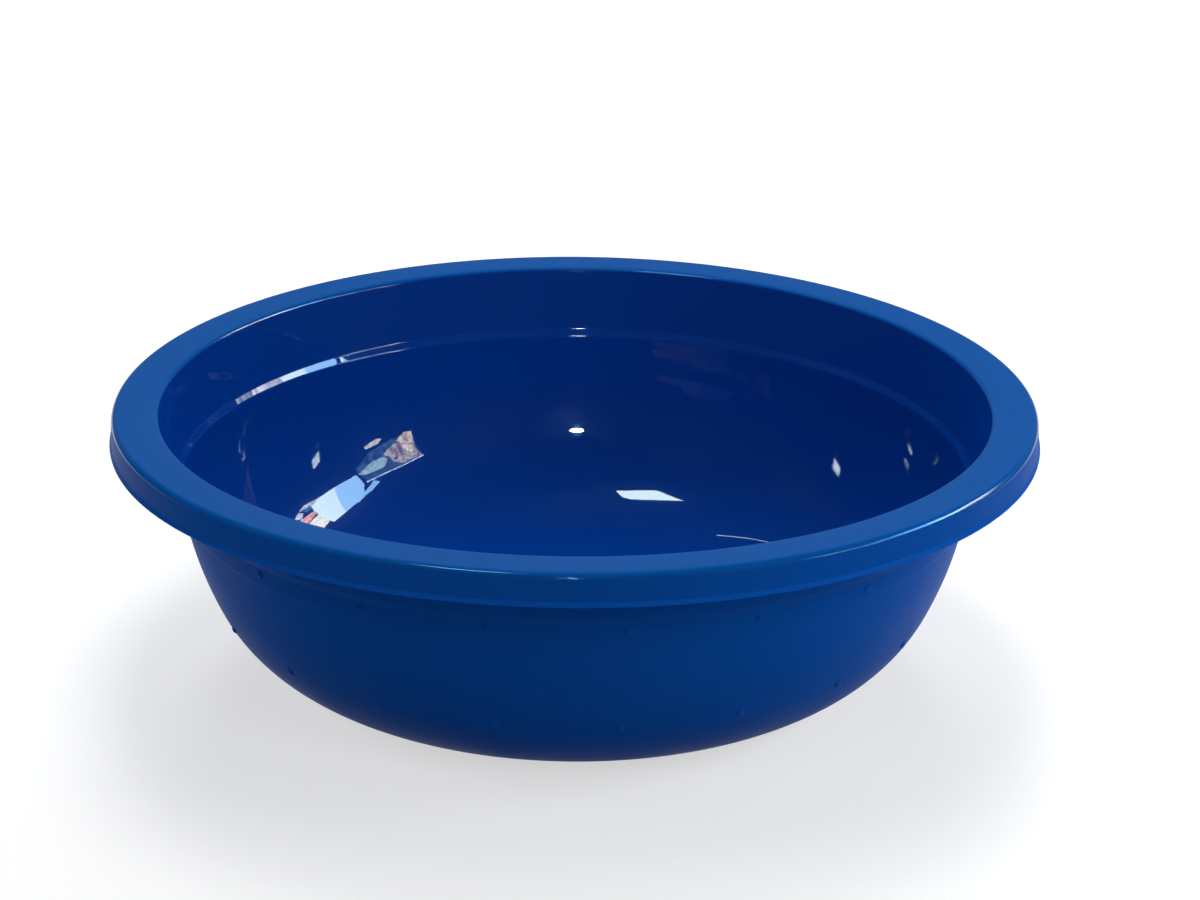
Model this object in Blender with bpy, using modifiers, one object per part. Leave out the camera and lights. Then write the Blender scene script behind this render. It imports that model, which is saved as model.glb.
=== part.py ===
"""Round plastic wash basin, injection moulded in one piece.

A bowl with a narrow shoulder near the top opens into a wide flat rim, which turns down into a short skirt with a
rounded lip. Two rows of small round pips stand on the outside of the bowl. Lengths are in metres and +Z is up.
The origin is the centre of the foot ring, on the plane that the basin stands on.
"""

import math

import bmesh
import bpy
from mathutils import Matrix, Vector

# The whole basin
RIM_DIAMETER = 0.500
HEIGHT = 0.150
WALL = 0.0016

# Rim, its skirt and the lip along the skirt's lower edge
RIM_WIDTH = 0.0247
RIM_THICKNESS = 0.0022
RIM_EDGE_RADIUS = 0.0040
MOUTH_EDGE_RADIUS = 0.0025
SKIRT_DEPTH = 0.0166
SKIRT_FLARE = 0.0005
LIP_HEIGHT = 0.0038
LIP_REACH = 0.0010
LIP_SLOPE_HEIGHT = 0.0024
LIP_EDGE_RADIUS = 0.0006

# Throat below the mouth, which narrows on its way down to the shoulder
THROAT_DEPTH = 0.0369
THROAT_TAPER = 0.0090

# Shoulder, a narrow sloping step in to the wall of the bowl
SHOULDER_HEIGHT = 0.0042
SHOULDER_WIDTH = 0.0024
SHOULDER_FILLET = 0.0020

# Bowl: a gently bulging wall, then a tighter curve down to the foot
WALL_TOP_LEAN = math.radians(5)
WALL_FOOT_LEAN = math.radians(25)
FOOT_CURVE_RADIUS = 0.078

# Band round the outside of the wall's top, a little thicker than the wall
BAND_HEIGHT = 0.011
BAND_PROUD = 0.0003

# Foot ring, with the floor inside it raised, and the mark of the moulding gate
FOOT_RING_WIDTH = 0.014
FLOOR_RISE = 0.0012
GATE_MARK_DIAMETER = 0.006
GATE_MARK_HEIGHT = 0.0006

# Pips on the outside of the wall: one row in the band, and one low on the bowl at its height above the foot
PIP_DIAMETER = 0.0042
PIP_TOP_DIAMETER = 0.0026
PIP_HEIGHT = 0.0008
PIP_ROOT = 0.0008
UPPER_ROW_SHARE = 0.4
LOWER_ROW_HEIGHT = 0.0445
PIPS_IN_A_ROW = 20
PIP_PHASE = math.radians(6.8)
PIP_SIDES = 8

# Fineness of the solid
TURN_STEPS = 72
FILLET_STEP = math.radians(45)
WALL_STEPS = 4
FOOT_CURVE_STEPS = 6
SMOOTH_ANGLE = math.radians(32)
MERGE_DISTANCE = 0.00005

BASIN_COLOUR = (0.012, 0.082, 0.330, 1.0)
BASIN_ROUGHNESS = 0.28

RIM_RADIUS = RIM_DIAMETER / 2
MOUTH_RADIUS = RIM_RADIUS - RIM_WIDTH
SHOULDER_TOP_RADIUS = MOUTH_RADIUS - THROAT_TAPER
SHOULDER_TOP_Z = HEIGHT - THROAT_DEPTH
WALL_TOP_RADIUS = SHOULDER_TOP_RADIUS - SHOULDER_WIDTH
WALL_TOP_Z = SHOULDER_TOP_Z - SHOULDER_HEIGHT
BAND_FOOT_Z = WALL_TOP_Z - BAND_HEIGHT
UPPER_ROW_Z = WALL_TOP_Z - BAND_HEIGHT * UPPER_ROW_SHARE

# The outer face: the foot curve touches the standing plane, and the bulge joins it at the wall's lean there.
FOOT_CURVE_TOP_Z = FOOT_CURVE_RADIUS * (1 - math.sin(WALL_FOOT_LEAN))
BULGE_RADIUS = (WALL_TOP_Z - FOOT_CURVE_TOP_Z) / (math.sin(WALL_FOOT_LEAN) - math.sin(WALL_TOP_LEAN))
BULGE_CENTRE_Z = WALL_TOP_Z + BULGE_RADIUS * math.sin(WALL_TOP_LEAN)
BULGE_CENTRE_R = WALL_TOP_RADIUS + WALL - BULGE_RADIUS * math.cos(WALL_TOP_LEAN)
FLOOR_RADIUS = BULGE_CENTRE_R + (BULGE_RADIUS - FOOT_CURVE_RADIUS) * math.cos(WALL_FOOT_LEAN)


def clear_scene():
    for obj in list(bpy.data.objects):
        bpy.data.objects.remove(obj)


def new_collection(name):
    collection = bpy.data.collections.new(name)
    bpy.context.scene.collection.children.link(collection)
    return collection


def plastic(name, colour, roughness):
    material = bpy.data.materials.new(name)
    material.use_nodes = True
    shader = material.node_tree.nodes["Principled BSDF"]
    shader.inputs["Base Color"].default_value = colour
    shader.inputs["Roughness"].default_value = roughness
    shader.inputs["Metallic"].default_value = 0
    material.diffuse_color = colour
    return material


def bulge_lean(z, inset):
    """How far the wall leans from upright at a height, on the bulge lying this far inside the outer face."""
    return math.asin((BULGE_CENTRE_Z - z) / (BULGE_RADIUS - inset))


def bulge_point(lean, inset):
    radius = BULGE_RADIUS - inset
    return Vector((BULGE_CENTRE_R + radius * math.cos(lean), BULGE_CENTRE_Z - radius * math.sin(lean)))


def foot_curve_point(lean, inset):
    radius = FOOT_CURVE_RADIUS - inset
    return Vector((FLOOR_RADIUS + radius * math.cos(lean), FOOT_CURVE_RADIUS - radius * math.sin(lean)))


def wall_line(top_z, inset):
    """Points down the wall, from a height on the bulge to where the foot curve meets the floor."""
    top_lean = bulge_lean(top_z, inset)
    points = []
    for i in range(WALL_STEPS):
        points.append(bulge_point(top_lean + (WALL_FOOT_LEAN - top_lean) * i / WALL_STEPS, inset))
    for i in range(FOOT_CURVE_STEPS + 1):
        lean = WALL_FOOT_LEAN + (math.pi / 2 - WALL_FOOT_LEAN) * i / FOOT_CURVE_STEPS
        points.append(foot_curve_point(lean, inset))
    return points


def outer_face_at(z):
    """(radius, lean) of the wall's outer face at a height, the band left out."""
    if z > FOOT_CURVE_TOP_Z:
        lean = bulge_lean(z, 0)
        return bulge_point(lean, 0).x, lean
    lean = math.asin((FOOT_CURVE_RADIUS - z) / FOOT_CURVE_RADIUS)
    return foot_curve_point(lean, 0).x, lean


def parallel_corner(before, corner, after, distance):
    """The corner of an outline through three points, once it has moved sideways, to the left of its direction."""
    first = (corner - before).normalized()
    second = (after - corner).normalized()
    first_side = Vector((-first.y, first.x))
    second_side = Vector((-second.y, second.x))
    mitre = (first_side + second_side).normalized()
    return corner + mitre * distance / mitre.dot(first_side)


def rounded(corners):
    """An outline through (point, radius) corners, with an arc at each corner that has a radius.
    An arc takes at most half of the shorter side next to it."""
    points = []
    last = len(corners) - 1
    for i, (corner, radius) in enumerate(corners):
        if radius <= 0 or i in (0, last):
            points.append(corner)
            continue
        back = corners[i - 1][0] - corner
        ahead = corners[i + 1][0] - corner
        turn = math.pi - back.angle(ahead)
        reach = min(radius * math.tan(turn / 2), back.length / 2, ahead.length / 2)
        start = corner + back.normalized() * reach
        end = corner + ahead.normalized() * reach
        middle = (back.normalized() + ahead.normalized()).normalized()
        centre = corner + middle * reach / math.sin(turn / 2)
        steps = max(2, math.ceil(turn / FILLET_STEP))
        sweep = (start - centre).angle_signed(end - centre)
        for k in range(steps + 1):
            points.append(centre + Matrix.Rotation(-sweep * k / steps, 2) @ (start - centre))
    return points


def inner_corners():
    """Corners from the middle of the floor up the inside of the bowl to the mouth's edge."""
    ring_inner = FLOOR_RADIUS - FOOT_RING_WIDTH
    wall = wall_line(WALL_TOP_Z, WALL)
    wall.reverse()
    corners = [
        (Vector((0, WALL + FLOOR_RISE)), 0),
        (Vector((ring_inner - FLOOR_RISE, WALL + FLOOR_RISE)), 0),
        (Vector((ring_inner, WALL)), 0),
    ]
    corners += [(point, 0) for point in wall[:-1]]
    corners.append((wall[-1], SHOULDER_FILLET))
    corners.append((Vector((SHOULDER_TOP_RADIUS, SHOULDER_TOP_Z)), SHOULDER_FILLET))
    corners.append((Vector((MOUTH_RADIUS, HEIGHT)), MOUTH_EDGE_RADIUS))
    return corners


def rim_corners():
    """Corners from the rim's outer edge down the skirt, round the lip and up behind it to the rim's underside."""
    skirt_foot = HEIGHT - SKIRT_DEPTH
    skirt_radius = RIM_RADIUS + SKIRT_FLARE
    lip_radius = skirt_radius + LIP_REACH
    lip_top = skirt_foot + LIP_HEIGHT
    return [
        (Vector((RIM_RADIUS, HEIGHT)), RIM_EDGE_RADIUS),
        (Vector((skirt_radius, lip_top)), 0),
        (Vector((lip_radius, lip_top - LIP_SLOPE_HEIGHT)), LIP_EDGE_RADIUS),
        (Vector((lip_radius, skirt_foot)), LIP_EDGE_RADIUS),
        (Vector((skirt_radius - WALL, skirt_foot)), 0),
        (Vector((RIM_RADIUS - WALL, HEIGHT - RIM_THICKNESS)), RIM_EDGE_RADIUS - WALL),
    ]


def outer_corners():
    """Corners from the rim's underside down the outside of the bowl to the middle of the floor's underside."""
    mouth = Vector((MOUTH_RADIUS, HEIGHT))
    shoulder_top = Vector((SHOULDER_TOP_RADIUS, SHOULDER_TOP_Z))
    wall_top = bulge_point(bulge_lean(WALL_TOP_Z, WALL), WALL)
    below = bulge_point(bulge_lean(BAND_FOOT_Z, WALL), WALL)
    throat_side = (shoulder_top - mouth).normalized()
    throat_drop = RIM_THICKNESS / -throat_side.y
    throat_top = mouth + throat_side * throat_drop + Vector((WALL / -throat_side.y, 0))
    ring_inner = FLOOR_RADIUS - FOOT_RING_WIDTH
    gate_radius = GATE_MARK_DIAMETER / 2
    corners = [
        (throat_top, MOUTH_EDGE_RADIUS),
        (parallel_corner(mouth, shoulder_top, wall_top, WALL), SHOULDER_FILLET),
        (parallel_corner(shoulder_top, wall_top, below, WALL + BAND_PROUD), SHOULDER_FILLET),
        (bulge_point(bulge_lean(BAND_FOOT_Z + BAND_PROUD, -BAND_PROUD), -BAND_PROUD), 0),
    ]
    corners += [(point, 0) for point in wall_line(BAND_FOOT_Z, 0)]
    corners += [
        (Vector((ring_inner, 0)), 0),
        (Vector((ring_inner - FLOOR_RISE, FLOOR_RISE)), 0),
        (Vector((gate_radius, FLOOR_RISE)), 0),
        (Vector((gate_radius, FLOOR_RISE - GATE_MARK_HEIGHT)), 0),
        (Vector((0, FLOOR_RISE - GATE_MARK_HEIGHT)), 0),
    ]
    return corners


def turned(name, points, collection):
    """The solid that a profile sweeps out round the Z axis."""
    mesh = bpy.data.meshes.new(name)
    mesh.from_pydata([(p.x, 0, p.y) for p in points], [(i, i + 1) for i in range(len(points) - 1)], [])
    obj = bpy.data.objects.new(name, mesh)
    collection.objects.link(obj)
    screw = obj.modifiers.new("turn", "SCREW")
    screw.axis = "Z"
    screw.angle = 2 * math.pi
    screw.steps = TURN_STEPS
    screw.render_steps = TURN_STEPS
    screw.use_merge_vertices = True
    screw.merge_threshold = MERGE_DISTANCE
    return obj


def pips(name, collection):
    """Both rows of pips in one mesh. Each is a short cone whose root lies inside the wall, square to its face."""
    shape = bmesh.new()
    length = PIP_ROOT + PIP_HEIGHT
    for height, proud in ((UPPER_ROW_Z, BAND_PROUD), (LOWER_ROW_HEIGHT, 0)):
        radius, lean = outer_face_at(height)
        for i in range(PIPS_IN_A_ROW):
            turn = Matrix.Rotation(PIP_PHASE + 2 * math.pi * i / PIPS_IN_A_ROW - math.pi / 2, 4, "Z")
            place = Matrix.Translation((radius + proud, 0, height))
            face = Matrix.Rotation(math.pi / 2 + lean, 4, "Y")
            middle = Matrix.Translation((0, 0, length / 2 - PIP_ROOT))
            bmesh.ops.create_cone(
                shape,
                cap_ends=True,
                segments=PIP_SIDES,
                radius1=PIP_DIAMETER / 2,
                radius2=PIP_TOP_DIAMETER / 2,
                depth=length,
                matrix=turn @ place @ face @ middle,
            )
    mesh = bpy.data.meshes.new(name)
    shape.to_mesh(mesh)
    shape.free()
    obj = bpy.data.objects.new(name, mesh)
    obj.hide_render = True
    obj.display_type = "WIRE"
    collection.objects.link(obj)
    return obj


def join(obj, other):
    union = obj.modifiers.new("join_" + other.name, "BOOLEAN")
    union.operation = "UNION"
    union.solver = "EXACT"
    union.object = other


def make_basin(collection, helpers):
    profile = rounded(inner_corners() + rim_corners() + outer_corners())
    basin = turned("basin", profile, collection)
    join(basin, pips("wall_pips", helpers))

    # The finished shape becomes the object's own mesh, so that its edges can be marked sharp by their angle.
    bpy.context.view_layer.update()
    graph = bpy.context.evaluated_depsgraph_get()
    finished = bpy.data.meshes.new_from_object(basin.evaluated_get(graph))
    finished.name = "basin"
    basin.modifiers.clear()
    basin.data = finished
    finished.shade_smooth()
    finished.set_sharp_from_angle(angle=SMOOTH_ANGLE)
    finished.materials.append(plastic("blue_plastic", BASIN_COLOUR, BASIN_ROUGHNESS))
    return basin


clear_scene()
make_basin(new_collection("plastic_basin"), new_collection("helpers"))
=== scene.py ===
"""Blue plastic wash basin on a pale floor, with the camera where the photograph was taken.

The basin is one fine turned mesh, which stands for the CAD node. Lengths are in metres and +Z is up.
The origin is the centre of the foot ring. The camera looks along +Y, so the front is -Y and the right is +X.
"""

import math

import bpy
from mathutils import Matrix, Vector


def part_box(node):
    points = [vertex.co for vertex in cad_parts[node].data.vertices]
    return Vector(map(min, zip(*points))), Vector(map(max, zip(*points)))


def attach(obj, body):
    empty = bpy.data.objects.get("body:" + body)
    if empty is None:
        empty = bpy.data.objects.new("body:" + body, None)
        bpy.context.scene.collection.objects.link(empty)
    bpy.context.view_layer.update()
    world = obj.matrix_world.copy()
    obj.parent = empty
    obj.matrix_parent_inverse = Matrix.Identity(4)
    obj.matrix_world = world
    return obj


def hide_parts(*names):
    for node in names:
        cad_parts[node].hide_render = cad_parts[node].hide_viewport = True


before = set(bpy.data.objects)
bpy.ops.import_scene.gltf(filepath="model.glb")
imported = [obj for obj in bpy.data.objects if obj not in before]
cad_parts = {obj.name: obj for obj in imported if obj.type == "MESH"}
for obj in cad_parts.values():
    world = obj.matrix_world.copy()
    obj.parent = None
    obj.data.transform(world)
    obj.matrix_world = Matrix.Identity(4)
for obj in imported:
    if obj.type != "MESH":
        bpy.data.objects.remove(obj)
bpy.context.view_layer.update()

# Sizes of the basin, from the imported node's box where it shows them
BASIN_LOW, BASIN_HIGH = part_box("basin")
HEIGHT = BASIN_HIGH[2]
LIP_RADIUS = BASIN_HIGH[0]
WALL = 0.0016

RIM_WIDTH = 0.0247
RIM_SLOPE = 0.0008
RIM_THICKNESS = 0.0022
RIM_EDGE_RADIUS = 0.0033
MOUTH_EDGE_RADIUS = 0.0025
SKIRT_DEPTH = 0.0166
SKIRT_FLARE = 0.0005
LIP_HEIGHT = 0.0025
LIP_REACH = 0.0010
LIP_SLOPE_HEIGHT = 0.0019
LIP_EDGE_RADIUS = 0.0005
LIP_ROOT_RADIUS = 0.0007

THROAT_DEPTH = 0.0369
THROAT_TAPER = 0.0090
SHOULDER_HEIGHT = 0.0042
SHOULDER_WIDTH = 0.0024
SHOULDER_FILLET = 0.0020
SHOULDER_INSIDE_FILLET = 0.0050

WALL_TOP_LEAN = math.radians(5)
WALL_FOOT_LEAN = math.radians(25)
FOOT_CURVE_RADIUS = 0.078
BAND_HEIGHT = 0.011
BAND_PROUD = 0.0003
BAND_STEP = 0.0012

FOOT_RING_WIDTH = 0.014
FLOOR_RISE = 0.0012
FLOOR_FILLET = 0.0010
GATE_MARK_RADIUS = 0.003
GATE_MARK_HEIGHT = 0.0006

PIP_RADIUS = 0.0022
PIP_HEIGHT = 0.0011
PIP_ROUNDNESS = 0.60
UPPER_ROW_SHARE = 0.4
LOWER_ROW_HEIGHT = 0.0445
PIPS_IN_A_ROW = 20
PIP_PHASE = math.radians(6.8)

RIM_RADIUS = LIP_RADIUS - LIP_REACH - SKIRT_FLARE
MOUTH_RADIUS = RIM_RADIUS - RIM_WIDTH
SHOULDER_TOP_RADIUS = MOUTH_RADIUS - THROAT_TAPER
SHOULDER_TOP_Z = HEIGHT - THROAT_DEPTH
WALL_TOP_RADIUS = SHOULDER_TOP_RADIUS - SHOULDER_WIDTH
WALL_TOP_Z = SHOULDER_TOP_Z - SHOULDER_HEIGHT
BAND_FOOT_Z = WALL_TOP_Z - BAND_HEIGHT
UPPER_ROW_Z = WALL_TOP_Z - BAND_HEIGHT * UPPER_ROW_SHARE

FOOT_CURVE_TOP_Z = FOOT_CURVE_RADIUS * (1 - math.sin(WALL_FOOT_LEAN))
BULGE_RADIUS = (WALL_TOP_Z - FOOT_CURVE_TOP_Z) / (math.sin(WALL_FOOT_LEAN) - math.sin(WALL_TOP_LEAN))
BULGE_CENTRE_Z = WALL_TOP_Z + BULGE_RADIUS * math.sin(WALL_TOP_LEAN)
BULGE_CENTRE_R = WALL_TOP_RADIUS + WALL - BULGE_RADIUS * math.cos(WALL_TOP_LEAN)
FLOOR_RADIUS = BULGE_CENTRE_R + (BULGE_RADIUS - FOOT_CURVE_RADIUS) * math.cos(WALL_FOOT_LEAN)

# How far the rim's own finish reaches down from its top: on the mouth's side and on the skirt's side
MOUTH_SATIN_DEPTH = 0.0012
SKIRT_SATIN_DEPTH = 0.0022

# Sag of the rim at its two sides, which fades down the wall to nothing at SAG_FROM
RIM_SAG = 0.0025
SAG_FROM = 0.050

# Fineness of the mesh: even steps, with fine ones around each pip
WALL_STEP = 0.004
TURN_STEP = math.radians(1.5)
PIP_STEP = 0.0005
PIP_REACH = 0.0030
FILLET_STEP = math.radians(5)
FLAT_STEP = 0.006

# Camera, fitted to the rim, the shoulder and the outline in the photograph
CAMERA_DISTANCE = 1.600
CAMERA_ELEVATION = math.radians(19.92)
CAMERA_ROLL = math.radians(0.55)
CAMERA_LENS = 88.2
CAMERA_SENSOR = 36
RIM_MIDDLE_Z = HEIGHT - RIM_SAG / 2
AIM_RIGHT = 0.0135
AIM_BELOW_RIM = 0.0327

# Plastic: the two colours that each finish drifts between
INSIDE_COLOURS = ((0.0003, 0.0410, 0.287, 1), (0.0004, 0.0460, 0.305, 1))
RIM_COLOURS = ((0.0010, 0.078, 0.347, 1), (0.0013, 0.085, 0.365, 1))
OUTSIDE_COLOURS = ((0.0026, 0.070, 0.374, 1), (0.0032, 0.085, 0.420, 1))
# The lip's colours are the outside's made about a quarter lighter: painted light from above on the lip's
# bead, on the same plastic
LIP_PAINTED_LIGHT_COLOURS = ((0.0026, 0.088, 0.465, 1), (0.0032, 0.098, 0.495, 1))
PLAIN_GLOSS = (1, 1, 1, 1)
BLUE_GLOSS = (0.30, 0.60, 1, 1)
PLASTIC_IOR = 1.49
HAZE_ROUGHNESS = 0.25
CLOUD_SCALE = 7
SMEAR_SCALE = 23
SMEAR_EDGES = (0.3, 0.7)
BUMP_STRENGTH = 1

# Finishes: name, colours, specular level, gloss colour, roughness from and to, haze, bump scale and depth
FINISHES = (
    ("glossy_inside", INSIDE_COLOURS, 0.5, PLAIN_GLOSS, (0.008, 0.022), 0.05, 12, 0.00008),
    ("satin_rim", RIM_COLOURS, 0.5, BLUE_GLOSS, (0.09, 0.12), 0, 700, 0.000002),
    ("matt_outside", OUTSIDE_COLOURS, 0.013, BLUE_GLOSS, (0.36, 0.47), 0, 500, 0.000004),
    # The lip's finish is the outside's with its colour lightened: painted light
    ("lip_painted_light", LIP_PAINTED_LIGHT_COLOURS, 0.013, BLUE_GLOSS, (0.36, 0.47), 0, 500, 0.000004),
)
INSIDE, RIM, OUTSIDE, LIP_PAINTED_LIGHT = range(len(FINISHES))

# Ceiling lamps that only the gloss shows, as flat shapes: name, brightness and colour, (x, y) corners
CEILING_Z = 2.5
CEILING_LATER_SHARE = 0.01
CEILING_LAMPS = (
    ("ceiling_panel", (15.8, 20.4, 19.5), (
        (-0.377, -0.485), (-0.809, -0.539), (-0.950, -0.104), (-0.450, -0.105), (-0.388, -0.176),
    )),
    ("ceiling_tube", (18, 23, 27), (
        (-0.70, 1.309), (-0.84, 1.295), (-1.00, 1.320), (-1.12, 1.393), (-1.22, 1.455),
        (-1.22, 1.469), (-1.12, 1.407), (-1.00, 1.334), (-0.84, 1.309), (-0.70, 1.323),
    )),
)

# A bright doorway far behind the camera and a dim glare round it: name, glow, width, height, distance back
DOOR_PLACE = (-0.028, -3.0, 1.55)
DOOR_CORNERS = 12
DOOR_PARTS = (
    ("far_door", (230, 255, 275), 0.256, 0.09, 0),
    ("door_glare", (0.5, 2.4, 5.0), 0.16, 0.32, 0.01),
)

# The door in the inside's later reflections, which are small glints: name, glow, x from and to, z from and to
DOOR_AGAIN = (
    ("door_again", (170, 210, 240), -0.24, 0.10, 2.06, 2.15),
    ("door_again_left", (330, 400, 440), -0.40, -0.16, 1.885, 1.93),
    ("door_again_right", (330, 360, 420), 0.26, 0.33, 1.88, 1.94),
)

# Soft lamps for the plain light: name, azimuth and elevation in degrees, distance, and strength at the basin
SOFT_LAMPS = (
    ("soft_above", 0, 88, 3.0, 0.45),
    ("soft_back_high", 0, 65, 3.0, 1.37),
    ("soft_back_low", 0, 22, 3.0, 1.68),
    ("soft_front_right", 140, 30, 3.0, 0.35),
    ("soft_front_left", -140, 30, 3.0, 0.24),
    ("soft_left", -90, 30, 3.0, 0.31),
    ("soft_right", 100, 20, 1.1, 0.86),
    ("soft_right_front", 150, 20, 1.1, 0.20),
    ("soft_right_back", 62, 8, 1.3, 0.20),
    ("soft_left_back", -65, 8, 1.3, 0.12),
)
SOFT_SPREAD = 0.37
SOFT_POWER = 3.46

# The view in the window on the right, as flat shapes: name, brightness and colour, unevenness, (y, z) corners
WINDOW_X = 2.2
WINDOW_GAP = 0.001
WINDOW_LATER_SHARE = 0.2
PATCH_SCALE = 14
PATCH_EDGES = (0.35, 0.65)
WINDOW_VIEW = (
    ("street", (0.5, 1.2, 1.9), 0.7, (
        (-0.30, 0.88), (-0.60, 0.80), (-1.05, 0.82), (-1.42, 0.88),
        (-1.48, 1.40), (-1.04, 1.42), (-0.30, 1.38),
    )),
    ("white_sky", (12.8, 16.7, 17.0), 0, (
        (0.16, 1.02), (0.44, 1.63), (0.60, 1.94), (0.96, 1.98), (0.83, 1.43), (0.71, 1.04),
    )),
    ("blue_sky", (6.0, 11.4, 17.5), 0, (
        (-0.24, 1.02), (-0.26, 1.18), (-0.21, 1.42), (-0.06, 1.68),
        (0.28, 1.87), (0.60, 1.94), (0.44, 1.63), (0.16, 1.02),
    )),
    ("high_sky", (4.8, 9.9, 15.4), 0, (
        (-0.37, 1.45), (-0.42, 1.60), (-0.15, 1.76), (0.28, 1.90), (0.28, 1.87), (-0.06, 1.68),
    )),
    ("cloud_edge", (10, 13.5, 17), 0.5, (
        (-0.27, 1.37), (-0.67, 1.40), (-1.04, 1.41), (-1.50, 1.39),
        (-1.49, 1.43), (-1.04, 1.45), (-0.67, 1.44), (-0.26, 1.42),
    )),
    ("hedge", (5.4, 8.2, 8.4), 0.25, (
        (-0.30, 1.04), (-0.45, 0.96), (-0.59, 0.93), (-0.80, 0.97),
        (-0.84, 1.04), (-0.72, 1.19), (-0.50, 1.18), (-0.33, 1.13),
    )),
    ("wall", (6.6, 5.7, 4.7), 0.7, (
        (-0.81, 0.93), (-1.03, 0.90), (-1.17, 0.93), (-1.38, 1.08),
        (-1.46, 1.37), (-1.05, 1.36), (-0.96, 1.28), (-0.88, 1.08),
    )),
    ("gable", (11, 8.9, 6.2), 0.5, (
        (-1.08, 0.88), (-1.28, 0.83), (-1.42, 0.87), (-1.40, 1.08), (-1.22, 0.97),
    )),
    ("sunlit_wall", (14.5, 12.0, 8.0), 0.5, ((-1.17, 0.99), (-1.33, 1.06), (-1.30, 1.18), (-1.17, 1.06))),
    ("sill", (8.0, 8.0, 8.3), 0.5, (
        (0.50, 1.02), (0.66, 0.98), (1.14, 0.89), (1.15, 0.96), (1.07, 0.98), (0.67, 1.10),
    )),
    ("sill_end", (3.2, 3.4, 3.8), 0.7, ((1.14, 0.89), (1.50, 0.80), (1.52, 0.86), (1.15, 0.96))),
    ("awning", (9, 8.5, 7.5), 0.5, (
        (-0.79, 0.70), (-0.87, 0.74), (-0.78, 0.77), (-0.57, 0.74), (-0.55, 0.70),
    )),
    ("tree", (0.6, 2.0, 2.4), 0.6, ((0.71, 1.06), (0.75, 1.19), (0.87, 1.15), (0.92, 1.06))),
    ("brick", (13.9, 6.4, 4.0), 0.3, ((1.35, 1.20), (0.79, 1.26), (0.78, 1.36), (1.35, 1.50))),
    ("porch", (15.5, 14.8, 12.4), 0.3, ((1.90, 1.55), (0.82, 1.43), (0.91, 1.83), (1.90, 2.15))),
    ("post", (9, 9.5, 9.2), 0.5, ((0.93, 1.12), (1.08, 1.24), (1.12, 1.10), (0.98, 1.00))),
)

# Floor and room
FLOOR_SIZE = 40
FLOOR_GAP = 0.0002
FLOOR_COLOUR = (0.46, 0.46, 0.46, 1)
FLOOR_GLOW = 0.60
FLOOR_ROUGHNESS = 0.9
FLOOR_SPECULAR = 0.1
WHITE = (1, 1, 1, 1)
HORIZON_TOP = math.radians(0.2)
HORIZON_FADE = math.radians(0.9)
ROOM_COLOUR = (0.020, 0.027, 0.035, 1)
BACK_WALL_COLOUR = (0.10, 0.125, 0.145, 1)
BACK_WALL_EDGES = (0.60, 0.88)
BACK_WALL_TOP = math.radians(21)
BACK_WALL_FADE = math.radians(26)


def bulge_lean(z, inset):
    return math.asin((BULGE_CENTRE_Z - z) / (BULGE_RADIUS - inset))


def bulge_point(lean, inset):
    radius = BULGE_RADIUS - inset
    return Vector((BULGE_CENTRE_R + radius * math.cos(lean), BULGE_CENTRE_Z - radius * math.sin(lean)))


def foot_curve_point(lean, inset):
    radius = FOOT_CURVE_RADIUS - inset
    return Vector((FLOOR_RADIUS + radius * math.cos(lean), FOOT_CURVE_RADIUS - radius * math.sin(lean)))


def outer_face_at(z):
    """(point, outward normal) of the wall's outer face at a height, the band left out."""
    if z > FOOT_CURVE_TOP_Z:
        lean = bulge_lean(z, 0)
        point = bulge_point(lean, 0)
    else:
        lean = math.asin((FOOT_CURVE_RADIUS - z) / FOOT_CURVE_RADIUS)
        point = foot_curve_point(lean, 0)
    return point, Vector((math.cos(lean), -math.sin(lean)))


def spread(start, end, coarse, fine, marks, reach):
    """Values from start to end at coarse steps, and at fine steps within reach of each mark."""
    edges = {start, end}
    for mark in marks:
        for edge in (mark - reach, mark + reach):
            if start < edge < end:
                edges.add(edge)
    edges = sorted(edges)
    values = []
    for low, high in zip(edges, edges[1:]):
        middle = (low + high) / 2
        near = any(abs(middle - mark) < reach for mark in marks)
        count = math.ceil((high - low) / (fine if near else coarse))
        values += [low + (high - low) * i / count for i in range(count)]
    return values + [end]


def wall_line(top_z, inset, pip_rows):
    """Points down the wall, from a height on the bulge to where the foot curve meets the floor."""
    bulge_size = BULGE_RADIUS - inset
    curve_size = FOOT_CURVE_RADIUS - inset
    leans = [math.atan2(-outer_face_at(z)[1].y, outer_face_at(z)[1].x) for z in pip_rows]
    bulge_leans = spread(
        bulge_lean(top_z, inset), WALL_FOOT_LEAN, WALL_STEP / bulge_size, PIP_STEP / bulge_size, leans,
        PIP_REACH / bulge_size,
    )
    curve_leans = spread(
        WALL_FOOT_LEAN, math.pi / 2, WALL_STEP / curve_size, PIP_STEP / curve_size, leans,
        PIP_REACH / curve_size,
    )
    points = [bulge_point(lean, inset) for lean in bulge_leans[:-1]]
    return points + [foot_curve_point(lean, inset) for lean in curve_leans]


def parallel_corner(before, corner, after, distance):
    """The corner of an outline through three points, once the outline has moved to its left by a distance."""
    first = (corner - before).normalized()
    second = (after - corner).normalized()
    first_side = Vector((-first.y, first.x))
    second_side = Vector((-second.y, second.x))
    mitre = (first_side + second_side).normalized()
    return corner + mitre * distance / mitre.dot(first_side)


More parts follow.
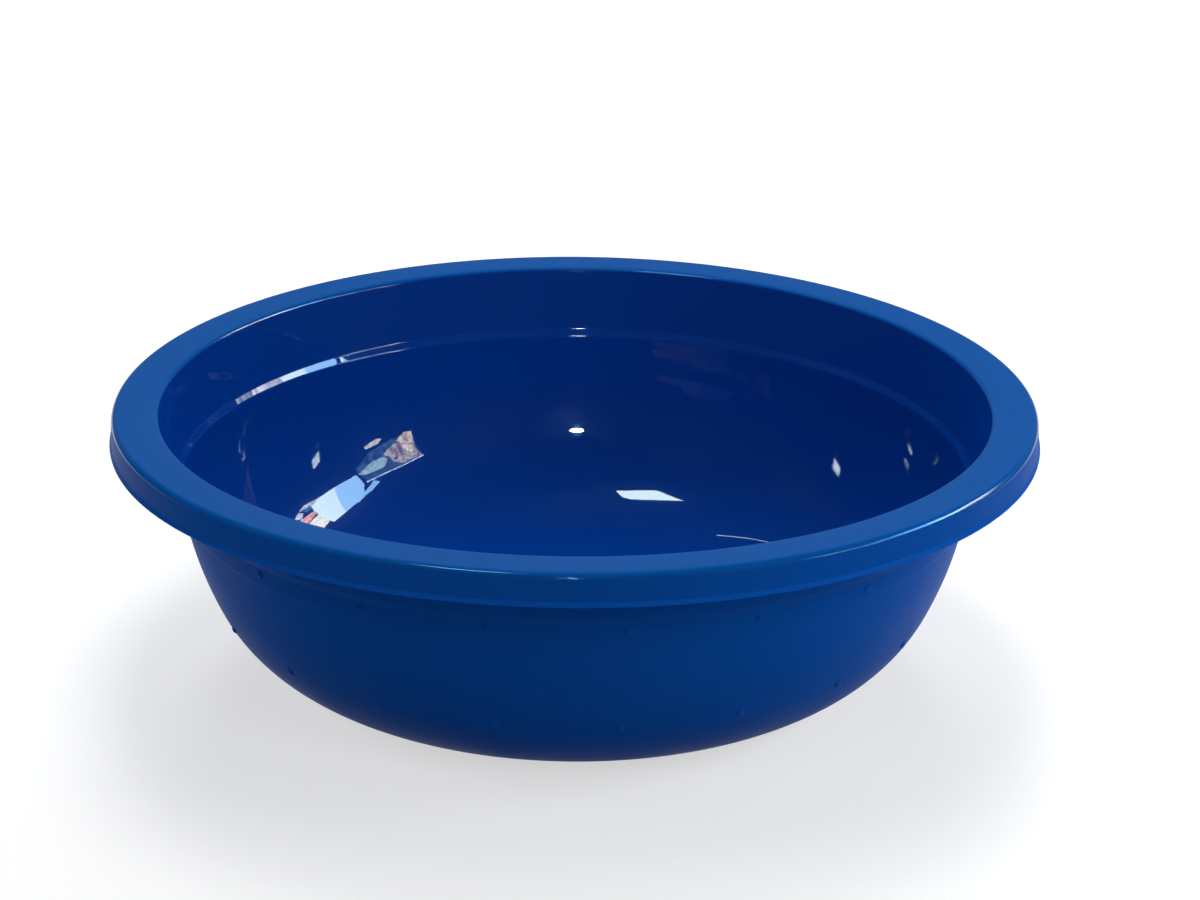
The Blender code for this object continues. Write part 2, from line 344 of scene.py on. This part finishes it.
def rounded(corners):
    """An outline through (point, radius) corners, with an arc at each corner that has a radius."""
    points = []
    last = len(corners) - 1
    for i, (corner, radius) in enumerate(corners):
        if radius <= 0 or i in (0, last):
            points.append(corner)
            continue
        back = corners[i - 1][0] - corner
        ahead = corners[i + 1][0] - corner
        turn = math.pi - back.angle(ahead)
        reach = min(radius * math.tan(turn / 2), back.length / 2, ahead.length / 2)
        start = corner + back.normalized() * reach
        end = corner + ahead.normalized() * reach
        middle = (back.normalized() + ahead.normalized()).normalized()
        centre = corner + middle * reach / math.sin(turn / 2)
        steps = max(4, math.ceil(turn / FILLET_STEP))
        sweep = (start - centre).angle_signed(end - centre)
        for k in range(steps + 1):
            points.append(centre + Matrix.Rotation(-sweep * k / steps, 2) @ (start - centre))
    return points


def filled_in(points, longest):
    """The same outline with its long straight runs cut into shorter ones."""
    result = [points[0]]
    for before, after in zip(points, points[1:]):
        count = math.ceil((after - before).length / longest)
        result += [before.lerp(after, k / count) for k in range(1, count + 1)]
    return result


def inner_corners():
    ring_inner = FLOOR_RADIUS - FOOT_RING_WIDTH
    wall = wall_line(WALL_TOP_Z, WALL, ())
    wall.reverse()
    corners = [
        (Vector((0, WALL + FLOOR_RISE)), 0),
        (Vector((ring_inner - FLOOR_RISE, WALL + FLOOR_RISE)), FLOOR_FILLET),
        (Vector((ring_inner, WALL)), FLOOR_FILLET),
    ]
    corners += [(point, 0) for point in wall[:-2]]
    corners.append((wall[-1], SHOULDER_INSIDE_FILLET))
    corners.append((Vector((SHOULDER_TOP_RADIUS, SHOULDER_TOP_Z)), SHOULDER_INSIDE_FILLET))
    corners.append((Vector((MOUTH_RADIUS, HEIGHT - RIM_SLOPE)), MOUTH_EDGE_RADIUS))
    return corners


def rim_corners():
    skirt_foot = HEIGHT - SKIRT_DEPTH
    skirt_radius = RIM_RADIUS + SKIRT_FLARE
    lip_top = skirt_foot + LIP_HEIGHT
    return [
        (Vector((RIM_RADIUS, HEIGHT)), RIM_EDGE_RADIUS),
        (Vector((skirt_radius, lip_top)), LIP_ROOT_RADIUS),
        (Vector((LIP_RADIUS, lip_top - LIP_SLOPE_HEIGHT)), LIP_EDGE_RADIUS),
        (Vector((LIP_RADIUS, skirt_foot)), LIP_EDGE_RADIUS),
        (Vector((skirt_radius - WALL, skirt_foot)), LIP_EDGE_RADIUS),
        (Vector((RIM_RADIUS - WALL, HEIGHT - RIM_THICKNESS)), RIM_EDGE_RADIUS - WALL),
    ]


def outer_corners():
    mouth = Vector((MOUTH_RADIUS, HEIGHT - RIM_SLOPE))
    shoulder_top = Vector((SHOULDER_TOP_RADIUS, SHOULDER_TOP_Z))
    wall_top = bulge_point(bulge_lean(WALL_TOP_Z, WALL), WALL)
    below = bulge_point(bulge_lean(BAND_FOOT_Z, WALL), WALL)
    throat_side = (shoulder_top - mouth).normalized()
    throat_drop = RIM_THICKNESS / -throat_side.y
    throat_top = mouth + throat_side * throat_drop + Vector((WALL / -throat_side.y, 0))
    band_top = parallel_corner(shoulder_top, wall_top, below, WALL + BAND_PROUD)
    return [
        (throat_top, MOUTH_EDGE_RADIUS),
        (parallel_corner(mouth, shoulder_top, wall_top, WALL), SHOULDER_FILLET),
        (band_top, SHOULDER_FILLET),
    ]


def under_corners():
    ring_inner = FLOOR_RADIUS - FOOT_RING_WIDTH
    return [
        (Vector((FLOOR_RADIUS, 0)), 0),
        (Vector((ring_inner, 0)), FLOOR_FILLET),
        (Vector((ring_inner - FLOOR_RISE, FLOOR_RISE)), FLOOR_FILLET),
        (Vector((GATE_MARK_RADIUS, FLOOR_RISE)), 0),
        (Vector((GATE_MARK_RADIUS, FLOOR_RISE - GATE_MARK_HEIGHT)), 0),
        (Vector((0, FLOOR_RISE - GATE_MARK_HEIGHT)), 0),
    ]


def pip_lift(point, offset_angle):
    """How far the outer face stands out at a profile point, this far round from the nearest pip."""
    for z in (UPPER_ROW_Z, LOWER_ROW_HEIGHT):
        away = (point - outer_face_at(z)[0]).length
        if away < PIP_RADIUS:
            share = math.hypot(away, point.x * offset_angle) / PIP_RADIUS
            if share < 1:
                return PIP_HEIGHT * (1 - share ** 2) ** PIP_ROUNDNESS
    return 0


def smooth_step(value):
    value = min(max(value, 0), 1)
    return value * value * (3 - 2 * value)


def outer_wall():
    """Points down the outer face, from the band's top to the standing plane."""
    points = []
    for point in wall_line(WALL_TOP_Z - SHOULDER_FILLET, 0, (UPPER_ROW_Z, BAND_FOOT_Z, LOWER_ROW_HEIGHT)):
        rise = smooth_step((point.y - BAND_FOOT_Z) / BAND_STEP + 0.5)
        points.append(point + outer_face_at(point.y)[1] * BAND_PROUD * rise)
    return points


def outline():
    """The profile's points and the places in it where the rim's finish and the outer wall begin and end.

    The points run from the middle of the floor, over the rim, to the middle of the underside.
    """
    rim_middle = Vector((RIM_RADIUS - RIM_WIDTH / 2, HEIGHT - RIM_SLOPE / 2))
    inside = filled_in(rounded(inner_corners() + [(rim_middle, 0)]), FLAT_STEP)
    wall = outer_wall()
    rim = filled_in(rounded([(rim_middle, 0)] + rim_corners() + outer_corners() + [(wall[0], 0)]), FLAT_STEP)
    under = filled_in(rounded(under_corners()), FLAT_STEP)
    points = inside[:-1] + rim[:-1] + wall[:-1] + under
    satin_top = HEIGHT - RIM_SLOPE - MOUTH_SATIN_DEPTH
    rim_start = next(i for i, point in enumerate(inside) if point.y > satin_top)
    skirt_side = RIM_RADIUS - RIM_EDGE_RADIUS
    satin_foot = HEIGHT - SKIRT_SATIN_DEPTH
    rim_end = next(i for i, point in enumerate(points) if point.x > skirt_side and point.y < satin_foot)
    wall_start = len(inside) + len(rim) - 2
    return points, rim_start, rim_end, wall_start, wall_start + len(wall) - 1


def stations():
    """(angle from the nearest pip, angle) pairs round the axis, closer together at the pips."""
    pitch = 2 * math.pi / PIPS_IN_A_ROW
    reach = PIP_REACH / WALL_TOP_RADIUS
    offsets = spread(-pitch / 2, pitch / 2, TURN_STEP, PIP_STEP / WALL_TOP_RADIUS, (0,), reach)[:-1]
    pips = [PIP_PHASE - math.pi / 2 + i * pitch for i in range(PIPS_IN_A_ROW)]
    return [(offset, pip + offset) for pip in pips for offset in offsets]


def make_basin():
    """The basin as one closed mesh: a row of vertices round the axis for each point of the profile."""
    points, rim_start, outside_start, wall_start, wall_end = outline()
    turns = stations()
    count = len(turns)
    vertices = [(0, 0, points[0].y)]
    for i, point in enumerate(points[1:-1], start=1):
        on_wall = wall_start <= i < wall_end
        normal = outer_face_at(point.y)[1] if on_wall else None
        for offset, angle in turns:
            place = point
            if on_wall:
                place = point + normal * pip_lift(point, offset)
            sag = RIM_SAG * smooth_step((place.y - SAG_FROM) / (HEIGHT - SAG_FROM)) * math.cos(angle) ** 2
            vertices.append((place.x * math.cos(angle), place.x * math.sin(angle), place.y - sag))
    vertices.append((0, 0, points[-1].y))

    faces = []
    for j in range(count):
        faces.append((0, 1 + j, 1 + (j + 1) % count))
    rows = len(points) - 2
    for i in range(rows - 1):
        row = 1 + i * count
        for j in range(count):
            k = (j + 1) % count
            faces.append((row + j, row + count + j, row + count + k, row + k))
    row = 1 + (rows - 1) * count
    for j in range(count):
        faces.append((row + j, len(vertices) - 1, row + (j + 1) % count))

    mesh = bpy.data.meshes.new("basin_moulding")
    mesh.from_pydata(vertices, [], faces)
    for finish in FINISHES:
        mesh.materials.append(plastic(*finish))
    finishes = []
    for i, (above, below) in enumerate(zip(points, points[1:])):
        if i <= rim_start:
            finish = INSIDE
        elif i < outside_start:
            finish = RIM
        # The lip's bead takes the lightened lip finish: painted light from above
        elif min(above.x, below.x) > RIM_RADIUS + SKIRT_FLARE:
            finish = LIP_PAINTED_LIGHT
        else:
            finish = OUTSIDE
        finishes += [finish] * count
    mesh.polygons.foreach_set("material_index", finishes)
    mesh.shade_smooth()
    basin = bpy.data.objects.new("basin_moulding", mesh)
    bpy.context.scene.collection.objects.link(basin)
    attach(basin, "root")
    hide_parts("basin")
    print("basin_moulding:", len(vertices), "vertices,", len(points), "profile points,", count, "stations")
    return basin


def add_node(tree, kind, **values):
    """A shader node with properties and inputs set by name, where underscores stand for an input's spaces."""
    node = tree.nodes.new(kind)
    for key, value in values.items():
        if hasattr(node, key):
            setattr(node, key, value)
        else:
            node.inputs[key.replace("_", " ")].default_value = value
    return node


def plastic(name, colours, specular, gloss_colour, roughness, haze, bump_scale, bump_depth):
    """Blue moulded plastic, a little uneven in colour and gloss, with a faint unevenness of its surface.

    The haze is a thin broad gloss over the sharp one.
    """
    material = bpy.data.materials.new(name)
    material.use_nodes = True
    tree = material.node_tree
    link = tree.links.new
    shader = tree.nodes["Principled BSDF"]
    shader.inputs["IOR"].default_value = PLASTIC_IOR
    shader.inputs["Specular IOR Level"].default_value = specular
    shader.inputs["Specular Tint"].default_value = gloss_colour
    shader.inputs["Coat Weight"].default_value = haze
    shader.inputs["Coat Roughness"].default_value = HAZE_ROUGHNESS
    place = add_node(tree, "ShaderNodeTexCoord")

    clouds = add_node(tree, "ShaderNodeTexNoise", Scale=CLOUD_SCALE, Detail=3)
    colour = add_node(tree, "ShaderNodeMix", data_type="RGBA")
    colour.inputs["A"].default_value = colours[0]
    colour.inputs["B"].default_value = colours[1]
    link(place.outputs["Object"], clouds.inputs["Vector"])
    link(clouds.outputs["Fac"], colour.inputs["Factor"])
    link(colour.outputs["Result"], shader.inputs["Base Color"])

    smears = add_node(tree, "ShaderNodeTexNoise", Scale=SMEAR_SCALE, Detail=4)
    gloss = add_node(tree, "ShaderNodeMapRange", From_Min=SMEAR_EDGES[0], From_Max=SMEAR_EDGES[1])
    gloss.inputs["To Min"].default_value = roughness[0]
    gloss.inputs["To Max"].default_value = roughness[1]
    link(place.outputs["Object"], smears.inputs["Vector"])
    link(smears.outputs["Fac"], gloss.inputs["Value"])
    link(gloss.outputs["Result"], shader.inputs["Roughness"])

    ripple = add_node(tree, "ShaderNodeTexNoise", Scale=bump_scale, Detail=2)
    bump = add_node(tree, "ShaderNodeBump", Strength=BUMP_STRENGTH, Distance=bump_depth)
    link(place.outputs["Object"], ripple.inputs["Vector"])
    link(ripple.outputs["Fac"], bump.inputs["Height"])
    link(bump.outputs["Normal"], shader.inputs["Normal"])
    return material


def make_camera():
    eye = Vector((
        0,
        -CAMERA_DISTANCE * math.cos(CAMERA_ELEVATION),
        RIM_MIDDLE_Z + CAMERA_DISTANCE * math.sin(CAMERA_ELEVATION),
    ))
    ahead = (Vector((AIM_RIGHT, 0, RIM_MIDDLE_Z - AIM_BELOW_RIM)) - eye).normalized()
    right = ahead.cross(Vector((0, 0, 1))).normalized()
    up = right.cross(ahead)
    turned_right = right * math.cos(CAMERA_ROLL) + up * math.sin(CAMERA_ROLL)
    turned_up = up * math.cos(CAMERA_ROLL) - right * math.sin(CAMERA_ROLL)
    data = bpy.data.cameras.new("camera")
    data.lens = CAMERA_LENS
    data.sensor_width = CAMERA_SENSOR
    camera = bpy.data.objects.new("camera", data)
    facing = Matrix((turned_right, turned_up, -ahead)).transposed()
    camera.matrix_world = Matrix.Translation(eye) @ facing.to_4x4()
    bpy.context.scene.collection.objects.link(camera)
    bpy.context.scene.camera = camera


def soft_lamp(name, place, aim, size, power):
    """A square lamp for plain light, which gloss doesn't show."""
    data = bpy.data.lights.new(name, "AREA")
    data.size = size
    data.energy = power
    light = bpy.data.objects.new(name, data)
    light.location = place
    light.rotation_euler = (aim - place).to_track_quat("-Z", "Y").to_euler()
    light.visible_camera = False
    light.visible_glossy = False
    bpy.context.scene.collection.objects.link(light)


def make_lights():
    for name, azimuth, elevation, distance, strength in SOFT_LAMPS:
        around = Matrix.Rotation(math.radians(-azimuth), 3, "Z")
        direction = around @ Vector((0, math.cos(math.radians(elevation)), math.sin(math.radians(elevation))))
        aim = Vector((0, 0, HEIGHT))
        power = SOFT_POWER * distance ** 2 * strength
        soft_lamp(name, aim + direction * distance, aim, SOFT_SPREAD * distance, power)


def glowing(name, glow, first_share, later_share, unevenness):
    """A glowing material, with its shares in gloss and in gloss that is itself seen in gloss."""
    material = bpy.data.materials.new(name)
    material.use_nodes = True
    tree = material.node_tree
    tree.nodes.remove(tree.nodes["Principled BSDF"])
    shader = add_node(tree, "ShaderNodeEmission")
    shader.inputs["Color"].default_value = [part / max(glow) for part in glow] + [1]
    rays = add_node(tree, "ShaderNodeLightPath")
    strength = add_node(tree, "ShaderNodeMapRange", From_Min=1, From_Max=2)
    strength.inputs["To Min"].default_value = max(glow) * first_share
    strength.inputs["To Max"].default_value = max(glow) * later_share
    tree.links.new(rays.outputs["Ray Depth"], strength.inputs["Value"])
    place = add_node(tree, "ShaderNodeTexCoord")
    patches = add_node(tree, "ShaderNodeTexNoise", Scale=PATCH_SCALE, Detail=3)
    share = add_node(tree, "ShaderNodeMapRange", From_Min=PATCH_EDGES[0], From_Max=PATCH_EDGES[1])
    share.inputs["To Min"].default_value = 1 - unevenness
    share.inputs["To Max"].default_value = 1 + unevenness
    product = add_node(tree, "ShaderNodeMath", operation="MULTIPLY")
    tree.links.new(place.outputs["Object"], patches.inputs["Vector"])
    tree.links.new(patches.outputs["Fac"], share.inputs["Value"])
    tree.links.new(strength.outputs["Result"], product.inputs[0])
    tree.links.new(share.outputs["Result"], product.inputs[1])
    tree.links.new(product.outputs[0], shader.inputs["Strength"])
    tree.links.new(shader.outputs["Emission"], tree.nodes["Material Output"].inputs["Surface"])
    return material


def glowing_card(name, glow, corners, first_share, later_share, unevenness):
    """A flat glowing shape that only gloss shows."""
    mesh = bpy.data.meshes.new(name)
    mesh.from_pydata(corners, [], [list(range(len(corners)))])
    mesh.materials.append(glowing(name, glow, first_share, later_share, unevenness))
    card = bpy.data.objects.new(name, mesh)
    bpy.context.scene.collection.objects.link(card)
    card.visible_camera = False
    card.visible_diffuse = False
    card.visible_shadow = False


def make_reflections():
    for name, glow, corners in CEILING_LAMPS:
        glowing_card(name, glow, [(x, y, CEILING_Z) for x, y in corners], 1, CEILING_LATER_SHARE, 0)
    turns = [2 * math.pi * i / DOOR_CORNERS for i in range(DOOR_CORNERS)]
    door_x, door_y, door_z = DOOR_PLACE
    for name, glow, width, height, back in DOOR_PARTS:
        corners = [
            (door_x + width / 2 * math.cos(turn), door_y - back, door_z + height / 2 * math.sin(turn))
            for turn in turns
        ]
        glowing_card(name, glow, corners, 1, 0, 0)
    for name, glow, left, right, low, high in DOOR_AGAIN:
        corners = [(left, door_y, low), (right, door_y, low), (right, door_y, high), (left, door_y, high)]
        glowing_card(name, glow, corners, 0, 1, 0)
    for i, (name, glow, unevenness, corners) in enumerate(WINDOW_VIEW):
        x = WINDOW_X - WINDOW_GAP * i
        glowing_card(name, glow, [(x, y, z) for y, z in corners], 1, WINDOW_LATER_SHARE, unevenness)


def make_floor():
    mesh = bpy.data.meshes.new("floor")
    size = FLOOR_SIZE / 2
    corners = [(-size, -size, 0), (size, -size, 0), (size, size, 0), (-size, size, 0)]
    mesh.from_pydata(corners, [], [(0, 1, 2, 3)])
    floor = bpy.data.objects.new("floor", mesh)
    floor.location.z = -FLOOR_GAP
    bpy.context.scene.collection.objects.link(floor)
    material = bpy.data.materials.new("pale_floor")
    material.use_nodes = True
    tree = material.node_tree
    shader = tree.nodes["Principled BSDF"]
    shader.inputs["Base Color"].default_value = FLOOR_COLOUR
    shader.inputs["Roughness"].default_value = FLOOR_ROUGHNESS
    shader.inputs["Specular IOR Level"].default_value = FLOOR_SPECULAR
    rays = add_node(tree, "ShaderNodeLightPath")
    seen = add_node(tree, "ShaderNodeMath", operation="ADD", use_clamp=True)
    through = add_node(tree, "ShaderNodeMath", operation="ADD", use_clamp=True)
    glow = add_node(tree, "ShaderNodeMath", operation="MULTIPLY")
    glow.inputs[1].default_value = FLOOR_GLOW
    tree.links.new(rays.outputs["Is Camera Ray"], seen.inputs[0])
    tree.links.new(rays.outputs["Is Glossy Ray"], seen.inputs[1])
    tree.links.new(seen.outputs[0], through.inputs[0])
    tree.links.new(rays.outputs["Is Transmission Ray"], through.inputs[1])
    tree.links.new(through.outputs[0], glow.inputs[0])
    tree.links.new(glow.outputs[0], shader.inputs["Emission Strength"])
    shader.inputs["Emission Color"].default_value = WHITE
    floor.data.materials.append(material)


def fade(tree, value, start, end):
    """A share that goes from 0 at one value to 1 at another."""
    node = add_node(tree, "ShaderNodeMapRange", From_Min=start, From_Max=end)
    tree.links.new(value, node.inputs["Value"])
    return node.outputs["Result"]


def blend(tree, share, first, second):
    node = add_node(tree, "ShaderNodeMix", data_type="RGBA")
    tree.links.new(share, node.inputs["Factor"])
    for socket, colour in (("A", first), ("B", second)):
        if isinstance(colour, bpy.types.NodeSocket):
            tree.links.new(colour, node.inputs[socket])
        else:
            node.inputs[socket].default_value = colour
    return node.outputs["Result"]


def make_world():
    """A dark room with a paler far wall, and a white strip at the horizon that meets the floor's white."""
    world = bpy.data.worlds.new("room")
    bpy.context.scene.world = world
    world.use_nodes = True
    tree = world.node_tree
    direction = add_node(tree, "ShaderNodeTexCoord")
    split = add_node(tree, "ShaderNodeSeparateXYZ")
    tree.links.new(direction.outputs["Generated"], split.inputs["Vector"])
    height = split.outputs["Z"]
    above = fade(tree, height, math.sin(BACK_WALL_FADE), math.sin(BACK_WALL_TOP))
    ahead = fade(tree, split.outputs["Y"], *BACK_WALL_EDGES)
    wall = add_node(tree, "ShaderNodeMath", operation="MULTIPLY")
    tree.links.new(above, wall.inputs[0])
    tree.links.new(ahead, wall.inputs[1])
    room = blend(tree, wall.outputs[0], ROOM_COLOUR, BACK_WALL_COLOUR)
    horizon = fade(tree, height, math.sin(HORIZON_FADE), math.sin(HORIZON_TOP))
    shade = blend(tree, horizon, room, WHITE)
    tree.links.new(shade, tree.nodes["Background"].inputs["Color"])


bpy.context.scene.view_settings.view_transform = "Standard"
make_camera()
make_lights()
make_reflections()
make_world()
make_floor()
make_basin()
